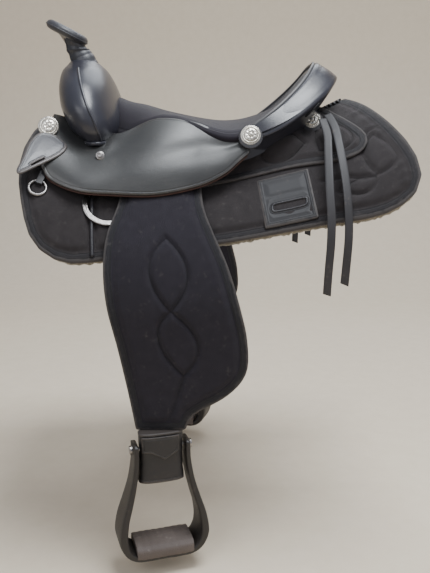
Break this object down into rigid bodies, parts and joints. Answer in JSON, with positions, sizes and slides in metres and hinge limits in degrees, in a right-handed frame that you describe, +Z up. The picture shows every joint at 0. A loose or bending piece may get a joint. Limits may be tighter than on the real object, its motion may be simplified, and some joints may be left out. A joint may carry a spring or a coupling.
{
  "type": "western saddle",
  "caption": "Western trail saddle in dark leather and woven fabric, with a leaning horn, padded seat, raised cantle, wide fenders and bell stirrups on both sides.",
  "frame": {"origin": "on the plane of symmetry, in the channel over the horse's back, under the lowest point of the seat", "axes": "+Z up; X runs along the horse with its head towards -X, so the horn is at -X and the cantle at +X; the rider's left side is -Y"},
  "size_m": [0.6981, 0.6994, 0.9586],
  "materials": {
    "leather_dark": "smooth",
    "leather_jockey": "smooth",
    "seat_suede": "suede",
    "cordura": "woven",
    "fleece": "pile",
    "wood": "raw",
    "silver": "polished",
    "stainless": "polished",
    "tread": "worn"
  },
  "bodies": {
    "tree": {"bar_left": "wood", "bar_right": "wood", "fork": "wood", "cantle_core": "wood", "horn_core": "stainless", "horn_cap_cover": "leather_dark", "horn_wrap": "leather_dark", "fork_cover": "leather_dark", "ground_seat": "wood", "seat": "seat_suede", "cantle_cover": "leather_dark", "seat_jockey_left": "leather_jockey", "seat_jockey_right": "leather_jockey", "skirt_left": "cordura", "skirt_right": "cordura", "fleece_left": "fleece", "fleece_right": "fleece", "rear_housing_left": "cordura", "rear_housing_right": "cordura", "rear_rigging_plate_left": "leather_dark", "rear_rigging_plate_right": "leather_dark", "front_tabs": "leather_dark", "conchos": "silver", "seat_rosettes": "leather_dark", "rear_rosettes": "leather_dark", "jockey_screws": "silver", "ring_keepers": "leather_dark", "rigging_straps": "leather_dark", "skirt_lacing": "leather_dark", "front_string_left": "leather_dark", "front_string_right": "leather_dark", "rear_string_left": "leather_dark", "rear_string_right": "leather_dark"},
    "breast_ring_left_body": {"breast_ring_left": "stainless"},
    "rigging_ring_left_body": {"rigging_ring_left": "stainless"},
    "leg_left": {"stirrup_leather_upper_left": "leather_dark"},
    "fender_left_body": {"fender_left": "cordura", "stirrup_leather_lower_left": "leather_dark", "buckle_left": "stainless"},
    "sleeve_left_body": {"buckle_sleeve_left": "stainless"},
    "neck_left": {"hobble_wrap_left": "leather_dark", "leather_loop_left": "leather_dark", "bolt_roller_left": "stainless"},
    "stirrup_left_body": {"stirrup_left": "leather_dark", "tread_left": "tread", "stirrup_bolt_left": "stainless"},
    "breast_ring_right_body": {"breast_ring_right": "stainless"},
    "rigging_ring_right_body": {"rigging_ring_right": "stainless"},
    "leg_right": {"stirrup_leather_upper_right": "leather_dark"},
    "fender_right_body": {"fender_right": "cordura", "stirrup_leather_lower_right": "leather_dark", "buckle_right": "stainless"},
    "sleeve_right_body": {"buckle_sleeve_right": "stainless"},
    "neck_right": {"hobble_wrap_right": "leather_dark", "leather_loop_right": "leather_dark", "bolt_roller_right": "stainless"},
    "stirrup_right_body": {"stirrup_right": "leather_dark", "tread_right": "tread", "stirrup_bolt_right": "stainless"}
  },
  "joints": [
    {"name": "breast_ring_left_flip", "type": "hinge", "parent": "tree", "child": "breast_ring_left_body", "pos_m": [-0.30917, -0.19261, -0.02204], "axis": [-0.9533, 0, 0.3019], "range_deg": [0, 60]},
    {"name": "rigging_ring_left_swing", "type": "hinge", "parent": "tree", "child": "rigging_ring_left_body", "pos_m": [-0.18529, -0.18035, -0.03901], "axis": [0.1023, -0.7314, 0.6743], "range_deg": [-12, 8]},
    {"name": "leg_left_swing", "type": "hinge", "parent": "tree", "child": "leg_left", "pos_m": [-0.097, -0.1063, 0.0107], "axis": [0, -0.9272, 0.3746], "range_deg": [-8, 11]},
    {"name": "fender_left_lift", "type": "hinge", "parent": "leg_left", "child": "fender_left_body", "pos_m": [-0.097, -0.20604, -0.06301], "axis": [-1, 0, 0], "range_deg": [0, 70]},
    {"name": "sleeve_left_slide", "type": "slide", "parent": "fender_left_body", "child": "sleeve_left_body", "axis": [0, 0, 1], "range_m": [0, 0.03]},
    {"name": "stirrup_left_turn", "type": "hinge", "parent": "fender_left_body", "child": "neck_left", "pos_m": [-0.097, -0.2942, -0.482], "axis": [0, 0, 1], "range_deg": [-60, 40]},
    {"name": "stirrup_left_tilt", "type": "hinge", "parent": "neck_left", "child": "stirrup_left_body", "pos_m": [-0.097, -0.2942, -0.482], "axis": [0.9563, 0.2924, 0], "range_deg": [-35, 35]},
    {"name": "breast_ring_right_flip", "type": "hinge", "parent": "tree", "child": "breast_ring_right_body", "pos_m": [-0.30917, 0.19261, -0.02204], "axis": [0.9533, 0, -0.3019], "range_deg": [0, 60]},
    {"name": "rigging_ring_right_swing", "type": "hinge", "parent": "tree", "child": "rigging_ring_right_body", "pos_m": [-0.18529, 0.18035, -0.03901], "axis": [-0.1023, -0.7314, -0.6743], "range_deg": [-12, 8]},
    {"name": "leg_right_swing", "type": "hinge", "parent": "tree", "child": "leg_right", "pos_m": [-0.097, 0.1063, 0.0107], "axis": [0, -0.9272, -0.3746], "range_deg": [-8, 11]},
    {"name": "fender_right_lift", "type": "hinge", "parent": "leg_right", "child": "fender_right_body", "pos_m": [-0.097, 0.20604, -0.06301], "axis": [1, 0, 0], "range_deg": [0, 70]},
    {"name": "sleeve_right_slide", "type": "slide", "parent": "fender_right_body", "child": "sleeve_right_body", "axis": [0, 0, 1], "range_m": [0, 0.03]},
    {"name": "stirrup_right_turn", "type": "hinge", "parent": "fender_right_body", "child": "neck_right", "pos_m": [-0.097, 0.2942, -0.482], "axis": [0, 0, 1], "range_deg": [-40, 60]},
    {"name": "stirrup_right_tilt", "type": "hinge", "parent": "neck_right", "child": "stirrup_right_body", "pos_m": [-0.097, 0.2942, -0.482], "axis": [-0.9563, 0.2924, 0], "range_deg": [-35, 35]}
  ]
}
